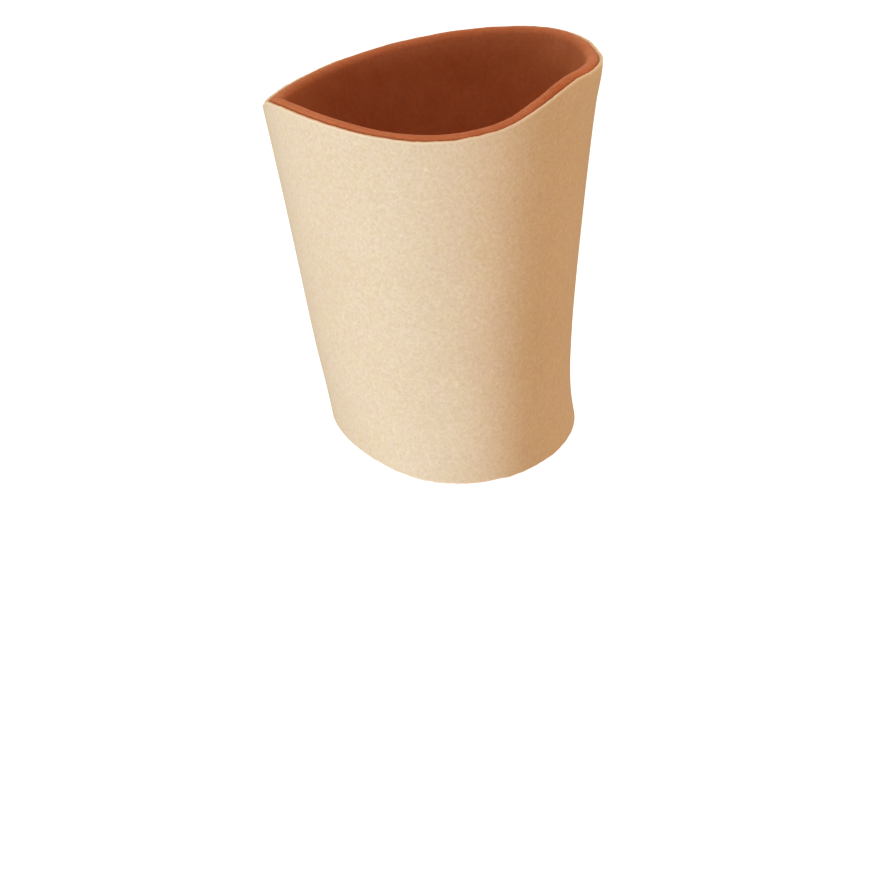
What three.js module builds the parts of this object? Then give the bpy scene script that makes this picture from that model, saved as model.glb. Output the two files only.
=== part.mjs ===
// Shin protector pad: a closed, tapered sleeve in two layers, in the stretched shape of one that is worn.
// A napped fabric cover lies over a soft gel lining, and both are open at the top and the bottom.
// Millimetres. +Z runs up the sleeve's axis, its front faces -Y, and +X is its right side seen from the front.
// The origin is the middle of the hollow, half way between the two edges.

import * as THREE from 'three';

// Driving dimensions of the cover's outer face
const SLEEVE_HEIGHT = 100;
const TOP_WIDTH = 94;
const BOTTOM_WIDTH = 65.6;
const TOP_DEPTH = 96;
const BOTTOM_DEPTH = 77;
const BACK_LEAN = 6; // how far the top edge's centre sits behind the bottom edge's centre
const FRONT_RIDGE = 0.12; // how much narrower the front is than the back, as a share of the width
const TOP_EDGE_RISE = 6; // what a whole share in the table below lifts the top edge by
const BOTTOM_EDGE_RISE = 3; // the same for the bottom edge, which climbs towards the back

// The two layers
const COVER_THICKNESS = 0.9;
const COVER_EDGE_ROUND = 0.2;
const LINING_THICKNESS = 3.3;
const LINING_EDGE_ROUND = 1.1;
const LAYER_GAP = 0.3;
const LINING_STANDS_PROUD = 0.8; // the lining's top edge above the cover's
const LINING_SET_BACK = 0.5; // the lining's bottom edge above the cover's

// Mesh fineness
const ANGLE_STEPS = 64;
const HEIGHT_STEPS = 10;
const EDGE_STEPS = 4; // round each edge, from one face to the other
const SMALL_TURN = 0.001; // radians, to find which way the outline runs

// Outline of the cover, one row for each level from the bottom edge (up 0) to the top edge (up 1).
// Each share runs from 0, the bottom edge's half size, to 1, the top edge's half size.
const LEVELS = [
  { up: 0.0, right: 0.1, left: -0.12, front: 0.0, back: 0.0 },
  { up: 0.1, right: 0.04, left: -0.02, front: 0.1, back: 0.1 },
  { up: 0.25, right: 0.1, left: 0.15, front: 0.25, back: 0.26 },
  { up: 0.5, right: 0.325, left: 0.385, front: 0.5, back: 0.54 },
  { up: 0.75, right: 0.6, left: 0.635, front: 0.75, back: 0.8 },
  { up: 0.9, right: 0.79, left: 0.79, front: 0.9, back: 0.93 },
  { up: 1.0, right: 0.945, left: 0.89, front: 1.0, back: 1.0 },
  { up: 1.08, right: 0.92, left: 1.0, front: 1.08, back: 1.06 },
];

// The two edges round the sleeve. Angle 0 is the front, 90 the right side and 180 the back.
// Top is a share of the top edge's rise, and bottom a share of the bottom edge's.
const EDGES = [
  { angle: 0, top: -0.45, bottom: -0.16 },
  { angle: 15, top: -0.22, bottom: -0.12 },
  { angle: 30, top: 0.28, bottom: -0.1 },
  { angle: 45, top: 0.64, bottom: -0.08 },
  { angle: 60, top: 0.48, bottom: -0.06 },
  { angle: 75, top: 0.19, bottom: 0.0 },
  { angle: 90, top: -0.06, bottom: 0.1 },
  { angle: 105, top: -0.09, bottom: 0.24 },
  { angle: 120, top: -0.16, bottom: 0.4 },
  { angle: 150, top: -0.6, bottom: 0.7 },
  { angle: 180, top: -1.15, bottom: 0.9 },
  { angle: 210, top: -1.65, bottom: 1.0 },
  { angle: 225, top: -1.77, bottom: 1.0 },
  { angle: 240, top: -1.7, bottom: 1.0 },
  { angle: 255, top: -1.4, bottom: 0.94 },
  { angle: 270, top: -0.6, bottom: 0.8 },
  { angle: 285, top: -0.3, bottom: 0.56 },
  { angle: 300, top: -0.3, bottom: 0.3 },
  { angle: 315, top: -0.4, bottom: 0.0 },
  { angle: 330, top: -0.52, bottom: -0.2 },
  { angle: 345, top: -0.55, bottom: -0.2 },
];

// A smooth curve through one column of a table, carried on straight past its ends
function readTable(rows, place, column, at) {
  const last = rows.length - 1;
  const slopeAt = (i) => {
    const before = rows[Math.max(i - 1, 0)];
    const after = rows[Math.min(i + 1, last)];
    return (after[column] - before[column]) / (after[place] - before[place]);
  };
  if (at <= rows[0][place]) {
    return rows[0][column] + slopeAt(0) * (at - rows[0][place]);
  }
  if (at >= rows[last][place]) {
    return rows[last][column] + slopeAt(last) * (at - rows[last][place]);
  }
  const i = rows.findIndex((row, n) => at < rows[n + 1][place]);
  const span = rows[i + 1][place] - rows[i][place];
  const t = (at - rows[i][place]) / span;
  const start = (1 + 2 * t) * (1 - t) ** 2 * rows[i][column];
  const startSlope = t * (1 - t) ** 2 * span * slopeAt(i);
  const end = t * t * (3 - 2 * t) * rows[i + 1][column];
  const endSlope = t * t * (t - 1) * span * slopeAt(i + 1);
  return start + startSlope + end + endSlope;
}

// The edge table goes once round, so its first and last rows are repeated past the ends
const EDGES_ROUND = [
  ...EDGES.slice(-2).map((row) => ({ ...row, angle: row.angle - 360 })),
  ...EDGES,
  ...EDGES.slice(0, 2).map((row) => ({ ...row, angle: row.angle + 360 })),
];

function topEdge(degrees) {
  return SLEEVE_HEIGHT / 2 + TOP_EDGE_RISE * readTable(EDGES_ROUND, 'angle', 'top', degrees);
}

function bottomEdge(degrees) {
  return -SLEEVE_HEIGHT / 2 + BOTTOM_EDGE_RISE * readTable(EDGES_ROUND, 'angle', 'bottom', degrees);
}

// A half size between the bottom edge's and the top edge's, by a share from the table
function halfSize(bottom, top, column, up) {
  return (bottom + (top - bottom) * readTable(LEVELS, 'up', column, up)) / 2;
}

// A point of the cover's outer face at an angle round the sleeve and a height
function outerPoint(angle, z) {
  const up = z / SLEEVE_HEIGHT + 0.5;
  const right = halfSize(BOTTOM_WIDTH, TOP_WIDTH, 'right', up);
  const left = halfSize(BOTTOM_WIDTH, TOP_WIDTH, 'left', up);
  const front = halfSize(BOTTOM_DEPTH, TOP_DEPTH, 'front', up);
  const back = halfSize(BOTTOM_DEPTH, TOP_DEPTH, 'back', up);
  const sine = Math.sin(angle);
  const cosine = Math.cos(angle);
  const halfWidth = (right + left) / 2 + ((right - left) / 2) * sine;
  const halfDepth = (front + back) / 2 + ((front - back) / 2) * cosine;
  const x = halfWidth * sine * (1 - FRONT_RIDGE * cosine);
  const y = -halfDepth * cosine + BACK_LEAN * (up - 0.5);
  return new THREE.Vector2(x, y);
}

// The same point moved inward, square to the outline at that height
function wallPoint(angle, z, inset) {
  const point = outerPoint(angle, z);
  const along = outerPoint(angle + SMALL_TURN, z).sub(outerPoint(angle - SMALL_TURN, z)).normalize();
  return new THREE.Vector3(point.x - along.y * inset, point.y + along.x * inset, z);
}

// One layer's wall as a closed band: up its outer face, over the top edge, down its inner face and back
function layerGeometry(outerInset, thickness, edgeRound, top, bottom) {
  const innerInset = outerInset + thickness;
  const middle = (outerInset + innerInset) / 2;
  const profile = [];
  const addFace = (inset, goingDown) => {
    for (let step = 0; step <= HEIGHT_STEPS; step += 1) {
      const climbed = step / HEIGHT_STEPS;
      profile.push({ inset, share: goingDown ? 1 - climbed : climbed, lift: 0 });
    }
  };
  const addEdge = (share, side) => {
    for (let step = 1; step < EDGE_STEPS; step += 1) {
      const turned = (Math.PI * step) / EDGE_STEPS;
      const inset = middle - (side * thickness * Math.cos(turned)) / 2;
      profile.push({ inset, share, lift: side * edgeRound * Math.sin(turned) });
    }
  };
  addFace(outerInset, false);
  addEdge(1, 1);
  addFace(innerInset, true);
  addEdge(0, -1);

  const positions = [];
  for (let around = 0; around < ANGLE_STEPS; around += 1) {
    const angle = (2 * Math.PI * around) / ANGLE_STEPS;
    const degrees = THREE.MathUtils.radToDeg(angle);
    const low = bottom(degrees) + edgeRound;
    const high = top(degrees) - edgeRound;
    for (const { inset, share, lift } of profile) {
      positions.push(...wallPoint(angle, low + (high - low) * share + lift, inset).toArray());
    }
  }

  const indices = [];
  const count = profile.length;
  for (let around = 0; around < ANGLE_STEPS; around += 1) {
    const next = (around + 1) % ANGLE_STEPS;
    for (let row = 0; row < count; row += 1) {
      const above = (row + 1) % count;
      const a = around * count + row;
      const b = next * count + row;
      const c = next * count + above;
      const d = around * count + above;
      indices.push(a, b, c, a, c, d);
    }
  }

  const geometry = new THREE.BufferGeometry();
  geometry.setAttribute('position', new THREE.Float32BufferAttribute(positions, 3));
  geometry.setIndex(indices);
  geometry.computeVertexNormals();
  return geometry;
}

const pad = new THREE.Group();

// Fabric cover: cream napped microfibre, cut clean along both edges
const cover = new THREE.Mesh(
  layerGeometry(0, COVER_THICKNESS, COVER_EDGE_ROUND, topEdge, bottomEdge),
  new THREE.MeshStandardMaterial({ color: 0xe8d4ba, roughness: 0.95, metalness: 0 }),
);
cover.name = 'fabric_cover';
pad.add(cover);

// Gel lining: soft amber gel moulded in one piece, a little taller than the cover at the top
const lining = new THREE.Mesh(
  layerGeometry(
    COVER_THICKNESS + LAYER_GAP,
    LINING_THICKNESS,
    LINING_EDGE_ROUND,
    (degrees) => topEdge(degrees) + LINING_STANDS_PROUD,
    (degrees) => bottomEdge(degrees) + LINING_SET_BACK,
  ),
  new THREE.MeshStandardMaterial({ color: 0xc97a54, roughness: 0.45, metalness: 0 }),
);
lining.name = 'gel_lining';
pad.add(lining);

export default pad;
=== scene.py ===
# Shin protector pad: a tapered, two-layer sleeve, in the stretched shape that it has when it is worn.
# The camera comes first, then the pad from its outside in, then the floor and the lights.
import math

import bpy
from mathutils import Matrix, Vector


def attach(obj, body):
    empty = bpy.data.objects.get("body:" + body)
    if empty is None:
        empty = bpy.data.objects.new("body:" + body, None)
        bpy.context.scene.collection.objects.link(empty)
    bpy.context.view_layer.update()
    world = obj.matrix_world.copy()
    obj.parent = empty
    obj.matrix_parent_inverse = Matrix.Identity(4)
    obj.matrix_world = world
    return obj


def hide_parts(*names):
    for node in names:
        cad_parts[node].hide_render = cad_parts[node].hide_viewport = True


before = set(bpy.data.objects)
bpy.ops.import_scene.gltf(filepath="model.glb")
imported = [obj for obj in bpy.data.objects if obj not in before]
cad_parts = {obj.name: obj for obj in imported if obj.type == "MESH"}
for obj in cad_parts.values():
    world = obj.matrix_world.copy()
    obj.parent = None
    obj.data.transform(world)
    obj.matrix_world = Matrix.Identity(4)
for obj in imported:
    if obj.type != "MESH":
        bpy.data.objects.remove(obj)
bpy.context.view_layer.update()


# Camera: stands in front of the pad and a little to its left, and looks down on it with a long lens.
# The pad sits high in the square picture and leans a little, as in the photograph.
VIEW_AZIMUTH = math.radians(-12)
VIEW_ELEVATION = math.radians(21.5)
VIEW_DISTANCE = 0.9
VIEW_AIM = Vector((-0.0037, 0.0, -0.0553))
VIEW_ROLL = math.radians(-2.7)
METRES_A_PIXEL = 0.00027
IMAGE_PIXELS = 876
SENSOR_WIDTH_MM = 36.0

camera_data = bpy.data.cameras.new("camera")
camera_data.sensor_width = SENSOR_WIDTH_MM
camera_data.lens = SENSOR_WIDTH_MM * VIEW_DISTANCE / (METRES_A_PIXEL * IMAGE_PIXELS)
camera = bpy.data.objects.new("camera", camera_data)
bpy.context.scene.collection.objects.link(camera)
eye = VIEW_DISTANCE * Vector((
    math.sin(VIEW_AZIMUTH) * math.cos(VIEW_ELEVATION),
    -math.cos(VIEW_AZIMUTH) * math.cos(VIEW_ELEVATION),
    math.sin(VIEW_ELEVATION),
))
looking = (VIEW_AIM - eye).to_track_quat("-Z", "Y").to_matrix().to_4x4()
camera.matrix_world = Matrix.Translation(eye) @ looking @ Matrix.Rotation(VIEW_ROLL, 4, "Z")
bpy.context.scene.camera = camera


# Fabric cover: the outer face of the pad, a cream microfibre knit with a short brushed nap.
# It is laminated to the gel, cut clean along both edges, and stretched smooth by what it is worn on.
MM = 0.001
SLEEVE_HEIGHT = 100 * MM
TOP_WIDTH = 94 * MM
BOTTOM_WIDTH = 65.6 * MM
TOP_DEPTH = 96 * MM
BOTTOM_DEPTH = 77 * MM
BACK_LEAN = 6 * MM
FRONT_RIDGE = 0.12
TOP_EDGE_RISE = 6 * MM
BOTTOM_EDGE_RISE = 3 * MM
COVER_THICKNESS = 0.9 * MM
COVER_EDGE_ROUND = 0.2 * MM
WALL_SWELL = 0.22 * MM  # how far the soft wall gives in and out
WALL_SWELL_SPACING = 34 * MM
EDGE_WANDER = 0.45 * MM  # the most that the cut edges stray from a true line, with nubs down to 1 mm
EDGE_WANDER_SPACING = 7 * MM

# The outline at each level, as shares of the way from the bottom edge's half size to the top edge's
LEVELS = [
    {"up": 0.00, "right": 0.100, "left": -0.120, "front": 0.00, "back": 0.00},
    {"up": 0.10, "right": 0.040, "left": -0.020, "front": 0.10, "back": 0.10},
    {"up": 0.25, "right": 0.100, "left": 0.150, "front": 0.25, "back": 0.26},
    {"up": 0.50, "right": 0.325, "left": 0.385, "front": 0.50, "back": 0.54},
    {"up": 0.75, "right": 0.600, "left": 0.635, "front": 0.75, "back": 0.80},
    {"up": 0.90, "right": 0.790, "left": 0.790, "front": 0.90, "back": 0.93},
    {"up": 1.00, "right": 0.945, "left": 0.890, "front": 1.00, "back": 1.00},
    {"up": 1.08, "right": 0.920, "left": 1.000, "front": 1.08, "back": 1.06},
]

# The two edges, from the back (-180) past the front (0) to the back again, as shares of each edge's rise
EDGES = [
    {"angle": -180, "top": -1.15, "bottom": 0.90},
    {"angle": -150, "top": -1.65, "bottom": 1.00},
    {"angle": -135, "top": -1.77, "bottom": 1.00},
    {"angle": -120, "top": -1.70, "bottom": 1.00},
    {"angle": -105, "top": -1.40, "bottom": 0.94},
    {"angle": -90, "top": -0.60, "bottom": 0.80},
    {"angle": -75, "top": -0.30, "bottom": 0.56},
    {"angle": -60, "top": -0.30, "bottom": 0.30},
    {"angle": -45, "top": -0.40, "bottom": 0.00},
    {"angle": -30, "top": -0.52, "bottom": -0.20},
    {"angle": -15, "top": -0.55, "bottom": -0.20},
    {"angle": 0, "top": -0.45, "bottom": -0.16},
    {"angle": 15, "top": -0.22, "bottom": -0.12},
    {"angle": 30, "top": 0.28, "bottom": -0.10},
    {"angle": 45, "top": 0.64, "bottom": -0.08},
    {"angle": 60, "top": 0.48, "bottom": -0.06},
    {"angle": 75, "top": 0.19, "bottom": 0.00},
    {"angle": 90, "top": -0.06, "bottom": 0.10},
    {"angle": 105, "top": -0.09, "bottom": 0.24},
    {"angle": 120, "top": -0.16, "bottom": 0.40},
    {"angle": 150, "top": -0.60, "bottom": 0.70},
    {"angle": 180, "top": -1.15, "bottom": 0.90},
]

AROUND_STEPS = 560
FACE_STEPS = 56
EDGE_STEPS = 8
SEAM_MERGE = 0.01 * MM  # closer points than this are one, which closes the sheet into a ring
PATTERN_SEED = 3.0
CURVE_FLATNESS = 0.02
MATH = "ShaderNodeMath"


def add(tree, kind, inputs=(), **settings):
    """Adds a node, sets its properties and fills its inputs, given in order or by name."""
    node = tree.nodes.new(kind)
    for name, setting in settings.items():
        setattr(node, name, setting)
    places = inputs.items() if isinstance(inputs, dict) else enumerate(inputs)
    for place, source in places:
        if isinstance(source, bpy.types.Node):
            source = source.outputs[0]
        if isinstance(source, bpy.types.NodeSocket):
            tree.links.new(source, node.inputs[place])
        else:
            node.inputs[place].default_value = source
    return node


def read_table(tree, rows, place, column, at):
    """Reads one column of a table with a Float Curve, at a share of the way from its first row to its last.

    The curve is drawn nearly flat and made tall again, so that it doesn't swing out between its points.
    """
    start = rows[0][place]
    end = rows[-1][place]
    curve = add(tree, "ShaderNodeFloatCurve", (1.0, at))
    mapping = curve.mapping
    mapping.use_clip = False
    mapping.extend = "EXTRAPOLATED"
    points = mapping.curves[0].points
    for index, row in enumerate(rows):
        spot = ((row[place] - start) / (end - start), row[column] * CURVE_FLATNESS)
        if index < 2:
            points[index].location = spot
        else:
            points.new(*spot)
    mapping.update()
    return add(tree, MATH, (curve, 1 / CURVE_FLATNESS), operation="MULTIPLY")


def sleeve_wall_tree():
    """Geometry Nodes for one layer: a closed band that is bent into the sleeve by the two tables."""
    tree = bpy.data.node_groups.new("sleeve_wall", "GeometryNodeTree")
    numbers = (
        "Height", "Top Width", "Bottom Width", "Top Depth", "Bottom Depth", "Back Lean", "Front Ridge",
        "Top Edge Rise", "Bottom Edge Rise", "Outer Inset", "Thickness", "Edge Round", "Top Lift",
        "Bottom Lift", "Swell", "Swell Spacing", "Edge Wander", "Wander Spacing", "Mean Girth", "Seed",
    )
    for name in numbers:
        tree.interface.new_socket(name, in_out="INPUT", socket_type="NodeSocketFloat")
    tree.interface.new_socket("Material", in_out="INPUT", socket_type="NodeSocketMaterial")
    tree.interface.new_socket("Wall", in_out="OUTPUT", socket_type="NodeSocketGeometry")
    given = add(tree, "NodeGroupInput").outputs

    # A flat sheet, whose X runs once round the pad and whose Y runs once round the wall's profile
    rows = 2 * (FACE_STEPS + EDGE_STEPS)
    sheet = add(tree, "GeometryNodeMeshGrid", (1.0, 1.0, AROUND_STEPS + 1, rows + 1))
    place = add(tree, "ShaderNodeSeparateXYZ", [add(tree, "GeometryNodeInputPosition")])
    turn = add(tree, MATH, (place.outputs["X"], 0.5), operation="ADD")
    angle = add(tree, MATH, (turn, 2 * math.pi, -math.pi), operation="MULTIPLY_ADD")
    sine = add(tree, MATH, [angle], operation="SINE")
    cosine = add(tree, MATH, [angle], operation="COSINE")
    row = add(tree, MATH, (place.outputs["Y"], rows, rows / 2), operation="MULTIPLY_ADD")

    # Where the row is: climbing the outer face, over the top, down the inner face, or under the bottom
    top_starts = FACE_STEPS
    inner_starts = FACE_STEPS + EDGE_STEPS
    bottom_starts = inner_starts + FACE_STEPS
    climbed = add(tree, "ShaderNodeMapRange", (row, 0.0, top_starts, 0.0, 1.0))
    dropped = add(tree, "ShaderNodeMapRange", (row, inner_starts, bottom_starts, 0.0, 1.0))
    share_up = add(tree, MATH, (climbed, dropped), operation="SUBTRACT")
    over_top = add(tree, "ShaderNodeMapRange", (row, top_starts, inner_starts, 0.0, math.pi))
    under_bottom = add(tree, "ShaderNodeMapRange", (row, bottom_starts, rows, 0.0, math.pi))
    top_bulge = add(tree, MATH, [over_top], operation="SINE")
    bottom_bulge = add(tree, MATH, [under_bottom], operation="SINE")
    top_across = add(tree, MATH, [over_top], operation="COSINE")
    bottom_across = add(tree, MATH, [under_bottom], operation="COSINE")
    across = add(tree, MATH, (bottom_across, top_across), operation="SUBTRACT")
    half_thickness = add(tree, MATH, (given["Thickness"], 0.5), operation="MULTIPLY")
    inset = add(tree, MATH, (across, half_thickness, given["Outer Inset"]), operation="MULTIPLY_ADD")
    bulge = add(tree, MATH, (top_bulge, bottom_bulge), operation="SUBTRACT")

    # Both edges' heights: half the sleeve, the table's rise, the layer's own lift and a slight wander.
    # Noise runs from 0 to 1, so half is taken off, and the wander that it is multiplied by is doubled.
    round_the_pad = add(tree, "ShaderNodeCombineXYZ", (cosine, sine, given["Seed"]))
    half_height = add(tree, MATH, (given["Height"], 0.5), operation="MULTIPLY")
    mean_radius = add(tree, MATH, (given["Mean Girth"], 2 * math.pi), operation="DIVIDE")
    wander_scale = add(tree, MATH, (mean_radius, given["Wander Spacing"]), operation="DIVIDE")
    edge_height = {}
    for column, side in (("top", 1.0), ("bottom", -1.0)):
        shares = read_table(tree, EDGES, "angle", column, turn)
        rise = given[column.title() + " Edge Rise"]
        lift = given[column.title() + " Lift"]
        level = add(tree, MATH, (half_height, side, lift), operation="MULTIPLY_ADD")
        risen = add(tree, MATH, (shares, rise, level), operation="MULTIPLY_ADD")
        apart = add(tree, "ShaderNodeVectorMath", (round_the_pad, (0.0, 0.0, side)), operation="ADD")
        noise = add(tree, "ShaderNodeTexNoise", {
            "Vector": apart, "Scale": wander_scale, "Detail": 3.0, "Roughness": 0.75})
        strayed = add(tree, MATH, (noise, 0.5), operation="SUBTRACT")
        wander = add(tree, MATH, (given["Edge Wander"], 2.0), operation="MULTIPLY")
        met = add(tree, MATH, (strayed, wander, risen), operation="MULTIPLY_ADD")
        rounding = add(tree, MATH, (given["Edge Round"], side), operation="MULTIPLY")
        edge_height[column] = add(tree, MATH, (met, rounding), operation="SUBTRACT")
    height_here = add(tree, "ShaderNodeMapRange", (
        share_up, 0.0, 1.0, edge_height["bottom"], edge_height["top"]), clamp=False)
    above_low = add(tree, MATH, (height_here, edge_height["bottom"]), operation="SUBTRACT")
    under_high = add(tree, MATH, (edge_height["top"], height_here), operation="SUBTRACT")
    from_cut = add(tree, MATH, (above_low, under_high), operation="MINIMUM")
    z = add(tree, MATH, (bulge, given["Edge Round"], height_here), operation="MULTIPLY_ADD")
    up = add(tree, MATH, (z, given["Height"]), operation="DIVIDE")
    up = add(tree, MATH, (up, 0.5), operation="ADD")

    # Half sizes at this height, from the table of levels
    half = {}
    up_in_table = add(tree, MATH, (up, LEVELS[-1]["up"]), operation="DIVIDE")
    for column in ("right", "left", "front", "back"):
        across_or_deep = "Width" if column in ("right", "left") else "Depth"
        shares = read_table(tree, LEVELS, "up", column, up_in_table)
        low = add(tree, MATH, (given["Bottom " + across_or_deep], 0.5), operation="MULTIPLY")
        high = add(tree, MATH, (given["Top " + across_or_deep], 0.5), operation="MULTIPLY")
        half[column] = add(tree, "ShaderNodeMapRange", (shares, 0.0, 1.0, low, high), clamp=False)
    wide = add(tree, "ShaderNodeMapRange", (sine, -1.0, 1.0, half["left"], half["right"]), clamp=False)
    deep = add(tree, "ShaderNodeMapRange", (cosine, -1.0, 1.0, half["back"], half["front"]), clamp=False)

    # The outline's point: an egg, narrower in front, whose middle leans back as it climbs
    narrowing = add(tree, MATH, (cosine, given["Front Ridge"]), operation="MULTIPLY")
    ridge = add(tree, MATH, (1.0, narrowing), operation="SUBTRACT")
    wide_sine = add(tree, MATH, (wide, sine), operation="MULTIPLY")
    x = add(tree, MATH, (wide_sine, ridge), operation="MULTIPLY")
    above_middle = add(tree, MATH, (up, 0.5), operation="SUBTRACT")
    lean = add(tree, MATH, (above_middle, given["Back Lean"]), operation="MULTIPLY")
    deep_cosine = add(tree, MATH, (deep, cosine), operation="MULTIPLY")
    y = add(tree, MATH, (lean, deep_cosine), operation="SUBTRACT")
    outline = add(tree, "ShaderNodeCombineXYZ", (x, y, z))

    # The way in, square to the outline: its rates of change in X and Y, turned a quarter
    mean_wide = add(tree, MATH, (half["right"], half["left"]), operation="ADD")
    mean_wide = add(tree, MATH, (mean_wide, -0.5), operation="MULTIPLY")
    wide_rate = add(tree, MATH, (wide, 2.0, mean_wide), operation="MULTIPLY_ADD")
    wide_rate = add(tree, MATH, (wide_rate, cosine), operation="MULTIPLY")
    wide_rate = add(tree, MATH, (wide_rate, ridge), operation="MULTIPLY")
    ridge_rate = add(tree, MATH, (sine, given["Front Ridge"]), operation="MULTIPLY")
    x_rate = add(tree, MATH, (wide_sine, ridge_rate, wide_rate), operation="MULTIPLY_ADD")
    mean_deep = add(tree, MATH, (half["front"], half["back"]), operation="ADD")
    mean_deep = add(tree, MATH, (mean_deep, -0.5), operation="MULTIPLY")
    deep_rate = add(tree, MATH, (deep, 2.0, mean_deep), operation="MULTIPLY_ADD")
    y_rate = add(tree, MATH, (deep_rate, sine), operation="MULTIPLY")
    minus_y_rate = add(tree, MATH, (y_rate, -1.0), operation="MULTIPLY")
    inward = add(tree, "ShaderNodeCombineXYZ", (minus_y_rate, x_rate, 0.0))
    inward = add(tree, "ShaderNodeVectorMath", [inward], operation="NORMALIZE")

    # Both layers swell together, outward where the noise is over a half, and each point then moves in
    # by its own inset
    swell_scale = add(tree, MATH, (1.0, given["Swell Spacing"]), operation="DIVIDE")
    swell_noise = add(tree, "ShaderNodeTexNoise", {
        "Vector": outline, "Scale": swell_scale, "Detail": 1.0, "Roughness": 0.4})
    swell_share = add(tree, MATH, (swell_noise, 0.5), operation="SUBTRACT")
    swell = add(tree, MATH, (given["Swell"], -2.0), operation="MULTIPLY")
    inset = add(tree, MATH, (swell_share, swell, inset), operation="MULTIPLY_ADD")
    moved = add(tree, "ShaderNodeVectorMath", {"Vector": inward, "Scale": inset}, operation="SCALE")
    moved = add(tree, "ShaderNodeVectorMath", (outline, moved), operation="ADD")

    # The wall stores how far round and up the cloth it is, in metres, as its UV map, and where its cut edges
    # are, which the material reads
    girth_here = add(tree, MATH, (turn, given["Mean Girth"]), operation="MULTIPLY")
    flat_place = add(tree, "ShaderNodeCombineXYZ", (girth_here, z, 0.0))
    mapped = add(tree, "GeometryNodeStoreNamedAttribute", {
        "Geometry": sheet, "Name": "UVMap", "Value": flat_place}, data_type="FLOAT2", domain="CORNER")
    marked = add(tree, "GeometryNodeStoreNamedAttribute", {
        "Geometry": mapped, "Name": "from_cut", "Value": from_cut}, data_type="FLOAT", domain="POINT")
    bent = add(tree, "GeometryNodeSetPosition", {"Geometry": marked, "Position": moved})
    closed = add(tree, "GeometryNodeMergeByDistance", {"Geometry": bent, "Distance": SEAM_MERGE})
    smooth = add(tree, "GeometryNodeSetShadeSmooth", [closed])
    real = add(tree, "GeometryNodeRealizeInstances", [smooth])
    finished = add(tree, "GeometryNodeSetMaterial", {"Geometry": real, "Material": given["Material"]})
    add(tree, "NodeGroupOutput", [finished])
    return tree


def grow(name, tree, values):
    """Runs a tree with the given inputs, and returns what it makes as a plain mesh object."""
    piece = bpy.data.objects.new(name, bpy.data.meshes.new(name))
    bpy.context.scene.collection.objects.link(piece)
    modifier = piece.modifiers.new("grow", "NODES")
    modifier.node_group = tree
    for socket in tree.interface.items_tree:
        if socket.in_out == "INPUT" and socket.name in values:
            modifier[socket.identifier] = values[socket.name]
    depsgraph = bpy.context.evaluated_depsgraph_get()
    result = bpy.data.meshes.new_from_object(piece.evaluated_get(depsgraph))
    result.name = name
    piece.modifiers.clear()
    piece.data = result
    return piece


def linear(colour):
    """Turns a colour written as sRGB hex, such as 0xE8D4BA, into the linear one that shaders take."""
    channels = []
    for shift in (16, 8, 0):
        level = ((colour >> shift) & 255) / 255
        channels.append(level / 12.92 if level <= 0.04045 else ((level + 0.055) / 1.055) ** 2.4)
    return (*channels, 1.0)


# The nap's patterns: the size of one mark, how finely it breaks up, and how much it bends. Noise from
# low to high gives tones from dark to pale.
NAP_PATTERNS = {
    "patches": {
        "size": 1.9 * MM, "detail": 1.5, "bend": 0.4, "low": 0.25, "high": 0.75, "dark": 0.98, "pale": 1.02},
    "tufts": {
        "size": 0.85 * MM, "detail": 1.5, "bend": 0.7, "low": 0.25, "high": 0.75, "dark": 0.90, "pale": 1.09},
    "lint": {
        "size": 0.95 * MM, "detail": 0.0, "bend": 0.3, "low": 0.64, "high": 0.78, "dark": 1.00, "pale": 1.05},
    "drift": {
        "size": 26 * MM, "detail": 2.0, "bend": 0.0, "low": 0.30, "high": 0.70, "dark": 0.98, "pale": 1.02},
}
TONE_IN_CHANNELS = (0.7, 1.0, 1.6)  # how much of the nap's tone red, green and blue each take up
TINT_SIZE = 4.5 * MM
TINT_NOISE = (0.35, 0.65)  # from where the tint is all pink to where it is all straw
PINK_CREAM = 0xE6CEAD
STRAW_CREAM = 0xE6D0A9
# Painted highlight: the pale colour mixed in along the cover's cut edges, and how much of it shows there
CUT_EDGE_HIGHLIGHT = 0xFBE1BE
HIGHLIGHT_STRENGTH = 0.65
HIGHLIGHT_FULL_TO = 0.1 * MM  # the painted highlight along the cut edge is full up to here from the cut, and then fades
HIGHLIGHT_ENDS_AT = 0.45 * MM
PATCH_RELIEF = 0.25 * MM
TUFT_RELIEF = 0.14 * MM
NAP_ROUGHNESS = (0.84, 0.96)
NAP_SHEEN = 0xFFF0DC
MOST_NOISE = (0.3, 0.7)  # what nearly all of a noise lies between
MIX_FIRST = 6  # the Mix node's sockets for its two colours and for the mixed one
MIX_SECOND = 7
MIX_RESULT = 2


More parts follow.
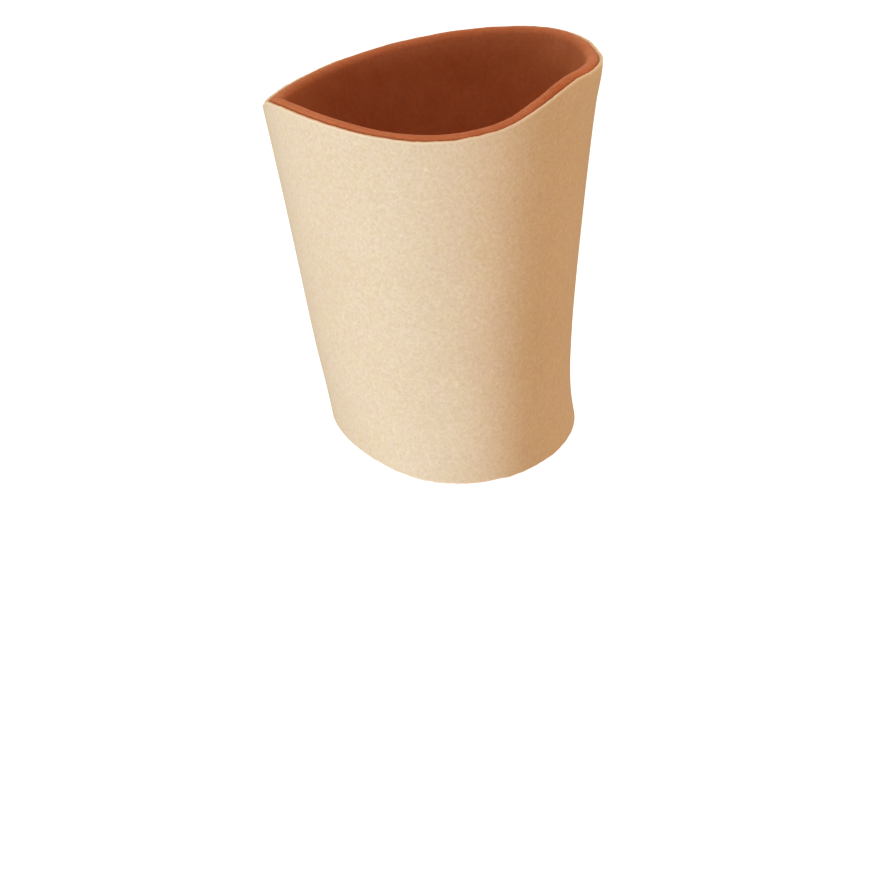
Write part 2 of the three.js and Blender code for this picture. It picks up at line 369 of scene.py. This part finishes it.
def brushed_microfibre():
    """Brushed microfibre knit: matte and chalky, with a soft sheen where the nap is seen edge on.

    Single fibres are too fine to show, so the nap is drawn as the tufts that they gather in, about
    0.8 mm across. The tufts lie in patches of 2 mm with a slightly different tint.
    """
    material = bpy.data.materials.new("brushed_microfibre")
    material.use_nodes = True
    tree = material.node_tree
    tree.nodes.clear()
    place = add(tree, "ShaderNodeTexCoord").outputs["Object"]

    # Colour: cream that leans to pink or to straw, with paler tips to the tufts and a few flecks of lint
    tints = add(tree, "ShaderNodeTexNoise", {
        "Vector": place, "Scale": 1 / TINT_SIZE, "Detail": 2.0, "Roughness": 0.6})
    tint_share = add(tree, "ShaderNodeMapRange", (tints, *TINT_NOISE, 0.0, 1.0))
    tinted = add(tree, "ShaderNodeMix", {
        "Factor": tint_share, MIX_FIRST: linear(PINK_CREAM), MIX_SECOND: linear(STRAW_CREAM),
    }, data_type="RGBA")
    pattern = {}
    tone = 1.0
    for name, look in NAP_PATTERNS.items():
        pattern[name] = add(tree, "ShaderNodeTexNoise", {
            "Vector": place, "Scale": 1 / look["size"], "Detail": look["detail"], "Distortion": look["bend"]})
        own_tone = add(tree, "ShaderNodeMapRange", (
            pattern[name], look["low"], look["high"], look["dark"], look["pale"]))
        tone = add(tree, MATH, (tone, own_tone), operation="MULTIPLY")
    untouched = [1.0 - share for share in TONE_IN_CHANNELS]
    tone = add(tree, "ShaderNodeVectorMath", (tone, TONE_IN_CHANNELS, untouched), operation="MULTIPLY_ADD")
    worn = add(tree, "ShaderNodeVectorMath", (tinted.outputs[MIX_RESULT], tone), operation="MULTIPLY")

    # Painted highlight: a thin pale line along the cut edges, where the edge catches the light
    cut = add(tree, "ShaderNodeAttribute", attribute_name="from_cut")
    painted_highlight_share = add(tree, "ShaderNodeMapRange", (
        cut.outputs["Fac"], HIGHLIGHT_FULL_TO, HIGHLIGHT_ENDS_AT, HIGHLIGHT_STRENGTH, 0.0))
    colour = add(tree, "ShaderNodeMix", {
        "Factor": painted_highlight_share, MIX_FIRST: worn, MIX_SECOND: linear(CUT_EDGE_HIGHLIGHT)}, data_type="RGBA")

    # Relief: the patches of the nap, and its tufts on top
    patch_relief = add(tree, "ShaderNodeBump", {
        "Strength": 0.15, "Distance": PATCH_RELIEF, "Height": pattern["patches"]})
    tuft_relief = add(tree, "ShaderNodeBump", {
        "Strength": 0.5, "Distance": TUFT_RELIEF, "Height": pattern["tufts"], "Normal": patch_relief})
    dullness = add(tree, "ShaderNodeMapRange", (pattern["tufts"], *MOST_NOISE, *NAP_ROUGHNESS))
    surface = add(tree, "ShaderNodeBsdfPrincipled", {
        "Base Color": colour.outputs[MIX_RESULT],
        "Roughness": dullness,
        "Normal": tuft_relief,
        "Specular IOR Level": 0.25,
        "Sheen Weight": 0.25,
        "Sheen Roughness": 0.5,
        "Sheen Tint": linear(NAP_SHEEN),
    })
    add(tree, "ShaderNodeOutputMaterial", [surface])
    return material


wall_tree = sleeve_wall_tree()
mean_girth = math.pi * (TOP_WIDTH + BOTTOM_WIDTH + TOP_DEPTH + BOTTOM_DEPTH) / 4
sleeve_sizes = {
    "Height": SLEEVE_HEIGHT,
    "Top Width": TOP_WIDTH,
    "Bottom Width": BOTTOM_WIDTH,
    "Top Depth": TOP_DEPTH,
    "Bottom Depth": BOTTOM_DEPTH,
    "Back Lean": BACK_LEAN,
    "Front Ridge": FRONT_RIDGE,
    "Top Edge Rise": TOP_EDGE_RISE,
    "Bottom Edge Rise": BOTTOM_EDGE_RISE,
    "Swell": WALL_SWELL,
    "Swell Spacing": WALL_SWELL_SPACING,
    "Edge Wander": EDGE_WANDER,
    "Wander Spacing": EDGE_WANDER_SPACING,
    "Mean Girth": mean_girth,
}
microfibre = brushed_microfibre()
cover = grow("fabric_cover_cloth", wall_tree, {
    **sleeve_sizes,
    "Outer Inset": 0.0,
    "Thickness": COVER_THICKNESS,
    "Edge Round": COVER_EDGE_ROUND,
    "Top Lift": 0.0,
    "Bottom Lift": 0.0,
    "Seed": PATTERN_SEED,
    "Material": microfibre,
})
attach(cover, "root")
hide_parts("fabric_cover")


# Gel lining: the cushion itself, one layer of soft amber gel that is moulded as a ring.
# It is laminated inside the cover and stands a little proud of it along the top edge.
GLUE_LINE = 0.14 * MM
LINING_THICKNESS = 3.46 * MM
LINING_EDGE_ROUND = 1.6 * MM
LINING_STANDS_PROUD = 0.8 * MM
LINING_SET_BACK = 0.5 * MM
LINING_EDGE_WANDER = 0.22 * MM
LINING_WANDER_SPACING = 6 * MM
CLOUD_SIZE = 9 * MM
CLOUD_RELIEF = 0.5 * MM
SPECK_SIZE = 1.1 * MM
SPECK_TONES = (0.93, 1.07)
PIT_DEPTH = 0.12 * MM
GEL_ROUGHNESS = (0.48, 0.6)
GEL_SOAK = 1.5 * MM  # how far light spreads inside the gel
DEEP_AMBER = 0xBC6A41
PALE_AMBER = 0xD08359
GEL_SHINE = 0xFFB78F


def amber_gel():
    """Thermoplastic gel, moulded and amber: light soaks in and glows orange where the edge is thin.

    Its skin is satin, faintly uneven over a few millimetres, with fine pits left by the mould.
    """
    material = bpy.data.materials.new("amber_gel")
    material.use_nodes = True
    tree = material.node_tree
    tree.nodes.clear()
    place = add(tree, "ShaderNodeTexCoord").outputs["Object"]
    clouds = add(tree, "ShaderNodeTexNoise", {
        "Vector": place, "Scale": 1 / CLOUD_SIZE, "Detail": 3.0, "Roughness": 0.5})
    specks = add(tree, "ShaderNodeTexNoise", {
        "Vector": place, "Scale": 1 / SPECK_SIZE, "Detail": 2.0, "Roughness": 0.6})
    colour = add(tree, "ShaderNodeMix", {
        "Factor": clouds, MIX_FIRST: linear(DEEP_AMBER), MIX_SECOND: linear(PALE_AMBER)}, data_type="RGBA")
    speck_tone = add(tree, "ShaderNodeMapRange", (specks, *MOST_NOISE, *SPECK_TONES))
    mottled = add(tree, "ShaderNodeVectorMath", {
        "Vector": colour.outputs[MIX_RESULT], "Scale": speck_tone}, operation="SCALE")
    uneven = add(tree, "ShaderNodeBump", {
        "Strength": 0.4, "Distance": CLOUD_RELIEF, "Height": clouds})
    pitted = add(tree, "ShaderNodeBump", {
        "Strength": 0.4, "Distance": PIT_DEPTH, "Height": specks, "Normal": uneven})
    satin = add(tree, "ShaderNodeMapRange", (specks, *MOST_NOISE, *GEL_ROUGHNESS))
    surface = add(tree, "ShaderNodeBsdfPrincipled", {
        "Base Color": mottled,
        "Roughness": satin,
        "Normal": pitted,
        "IOR": 1.45,
        "Specular IOR Level": 0.08,
        "Specular Tint": linear(GEL_SHINE),
        "Subsurface Weight": 0.6,
        "Subsurface Radius": (1.0, 0.35, 0.16),
        "Subsurface Scale": GEL_SOAK,
    })
    add(tree, "ShaderNodeOutputMaterial", [surface])
    return material


gel = amber_gel()
lining = grow("gel_lining_moulding", wall_tree, {
    **sleeve_sizes,
    "Outer Inset": COVER_THICKNESS + GLUE_LINE,
    "Thickness": LINING_THICKNESS,
    "Edge Round": LINING_EDGE_ROUND,
    "Top Lift": LINING_STANDS_PROUD,
    "Bottom Lift": LINING_SET_BACK,
    "Edge Wander": LINING_EDGE_WANDER,
    "Wander Spacing": LINING_WANDER_SPACING,
    "Seed": PATTERN_SEED,
    "Material": gel,
})
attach(lining, "root")
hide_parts("gel_lining")


# Floor: a plain pale board far below the pad, which is held up as it is when it is worn.
# It glows a little, so that it stays pale to its far end, and throws no light back on the pad.
FLOOR_DROP = 500 * MM
FLOOR_HALF = 12.0
FLOOR_GLOW = 0.75
BOARD_COLOUR = 0xF4F4F3
GLOW_COLOUR = 0xFFFFFF

floor_mesh = bpy.data.meshes.new("floor")
floor_corners = [
    (-FLOOR_HALF, -FLOOR_HALF, -FLOOR_DROP),
    (FLOOR_HALF, -FLOOR_HALF, -FLOOR_DROP),
    (FLOOR_HALF, FLOOR_HALF, -FLOOR_DROP),
    (-FLOOR_HALF, FLOOR_HALF, -FLOOR_DROP),
]
floor_mesh.from_pydata(floor_corners, [], [(0, 1, 2, 3)])
floor = bpy.data.objects.new("floor", floor_mesh)
floor.visible_diffuse = False
floor.visible_glossy = False
bpy.context.scene.collection.objects.link(floor)
pale_board = bpy.data.materials.new("pale_board")
pale_board.use_nodes = True
board_surface = pale_board.node_tree.nodes["Principled BSDF"]
board_surface.inputs["Base Color"].default_value = linear(BOARD_COLOUR)
board_surface.inputs["Roughness"].default_value = 0.9
board_surface.inputs["Specular IOR Level"].default_value = 0.1
board_surface.inputs["Emission Color"].default_value = linear(GLOW_COLOUR)
board_surface.inputs["Emission Strength"].default_value = FLOOR_GLOW
floor_mesh.materials.append(pale_board)


# Lights: a soft cool key on the left, a warm fill on the right that tints the shaded side, weak lights
# behind and overhead that reach into the hollow, and a pale room that is warm and shows as white.
# Stands and sizes are in metres, and powers in watts.
LIGHTS = [
    {"name": "key", "stand": (-1.110, -0.667, -0.110), "size": 0.6, "power": 16.0, "colour": 0xD9E7FC},
    {"name": "warm_fill", "stand": (1.109, -0.640, 0.000), "size": 0.8, "power": 5.2, "colour": 0xFFC186},
    {"name": "back_light", "stand": (0.307, 1.147, 0.742), "size": 0.8, "power": 3.0, "colour": 0xFFF1E2},
    {"name": "overhead", "stand": (0.0, 0.15, 1.3), "size": 0.6, "power": 5.0, "colour": 0xFFE9D6},
]
ROOM_LIGHT = 0xAA9D8F
ROOM_SEEN = 0xFFFFFF

for light in LIGHTS:
    stand = Vector(light["stand"])
    lamp_data = bpy.data.lights.new(light["name"], "AREA")
    lamp_data.shape = "DISK"
    lamp_data.size = light["size"]
    lamp_data.energy = light["power"]
    lamp_data.color = linear(light["colour"])[:3]
    lamp = bpy.data.objects.new(light["name"], lamp_data)
    aimed_at_pad = (-stand).to_track_quat("-Z", "Y").to_matrix().to_4x4()
    lamp.matrix_world = Matrix.Translation(stand) @ aimed_at_pad
    bpy.context.scene.collection.objects.link(lamp)

room = bpy.data.worlds.new("room")
room.use_nodes = True
room_tree = room.node_tree
room_tree.nodes.clear()
seen_directly = add(room_tree, "ShaderNodeLightPath").outputs["Is Camera Ray"]
room_shader = add(room_tree, "ShaderNodeMixShader", (
    seen_directly,
    add(room_tree, "ShaderNodeBackground", {"Color": linear(ROOM_LIGHT)}),
    add(room_tree, "ShaderNodeBackground", {"Color": linear(ROOM_SEEN)}),
))
add(room_tree, "ShaderNodeOutputWorld", [room_shader])
bpy.context.scene.world = room
bpy.context.scene.view_settings.view_transform = "Standard"
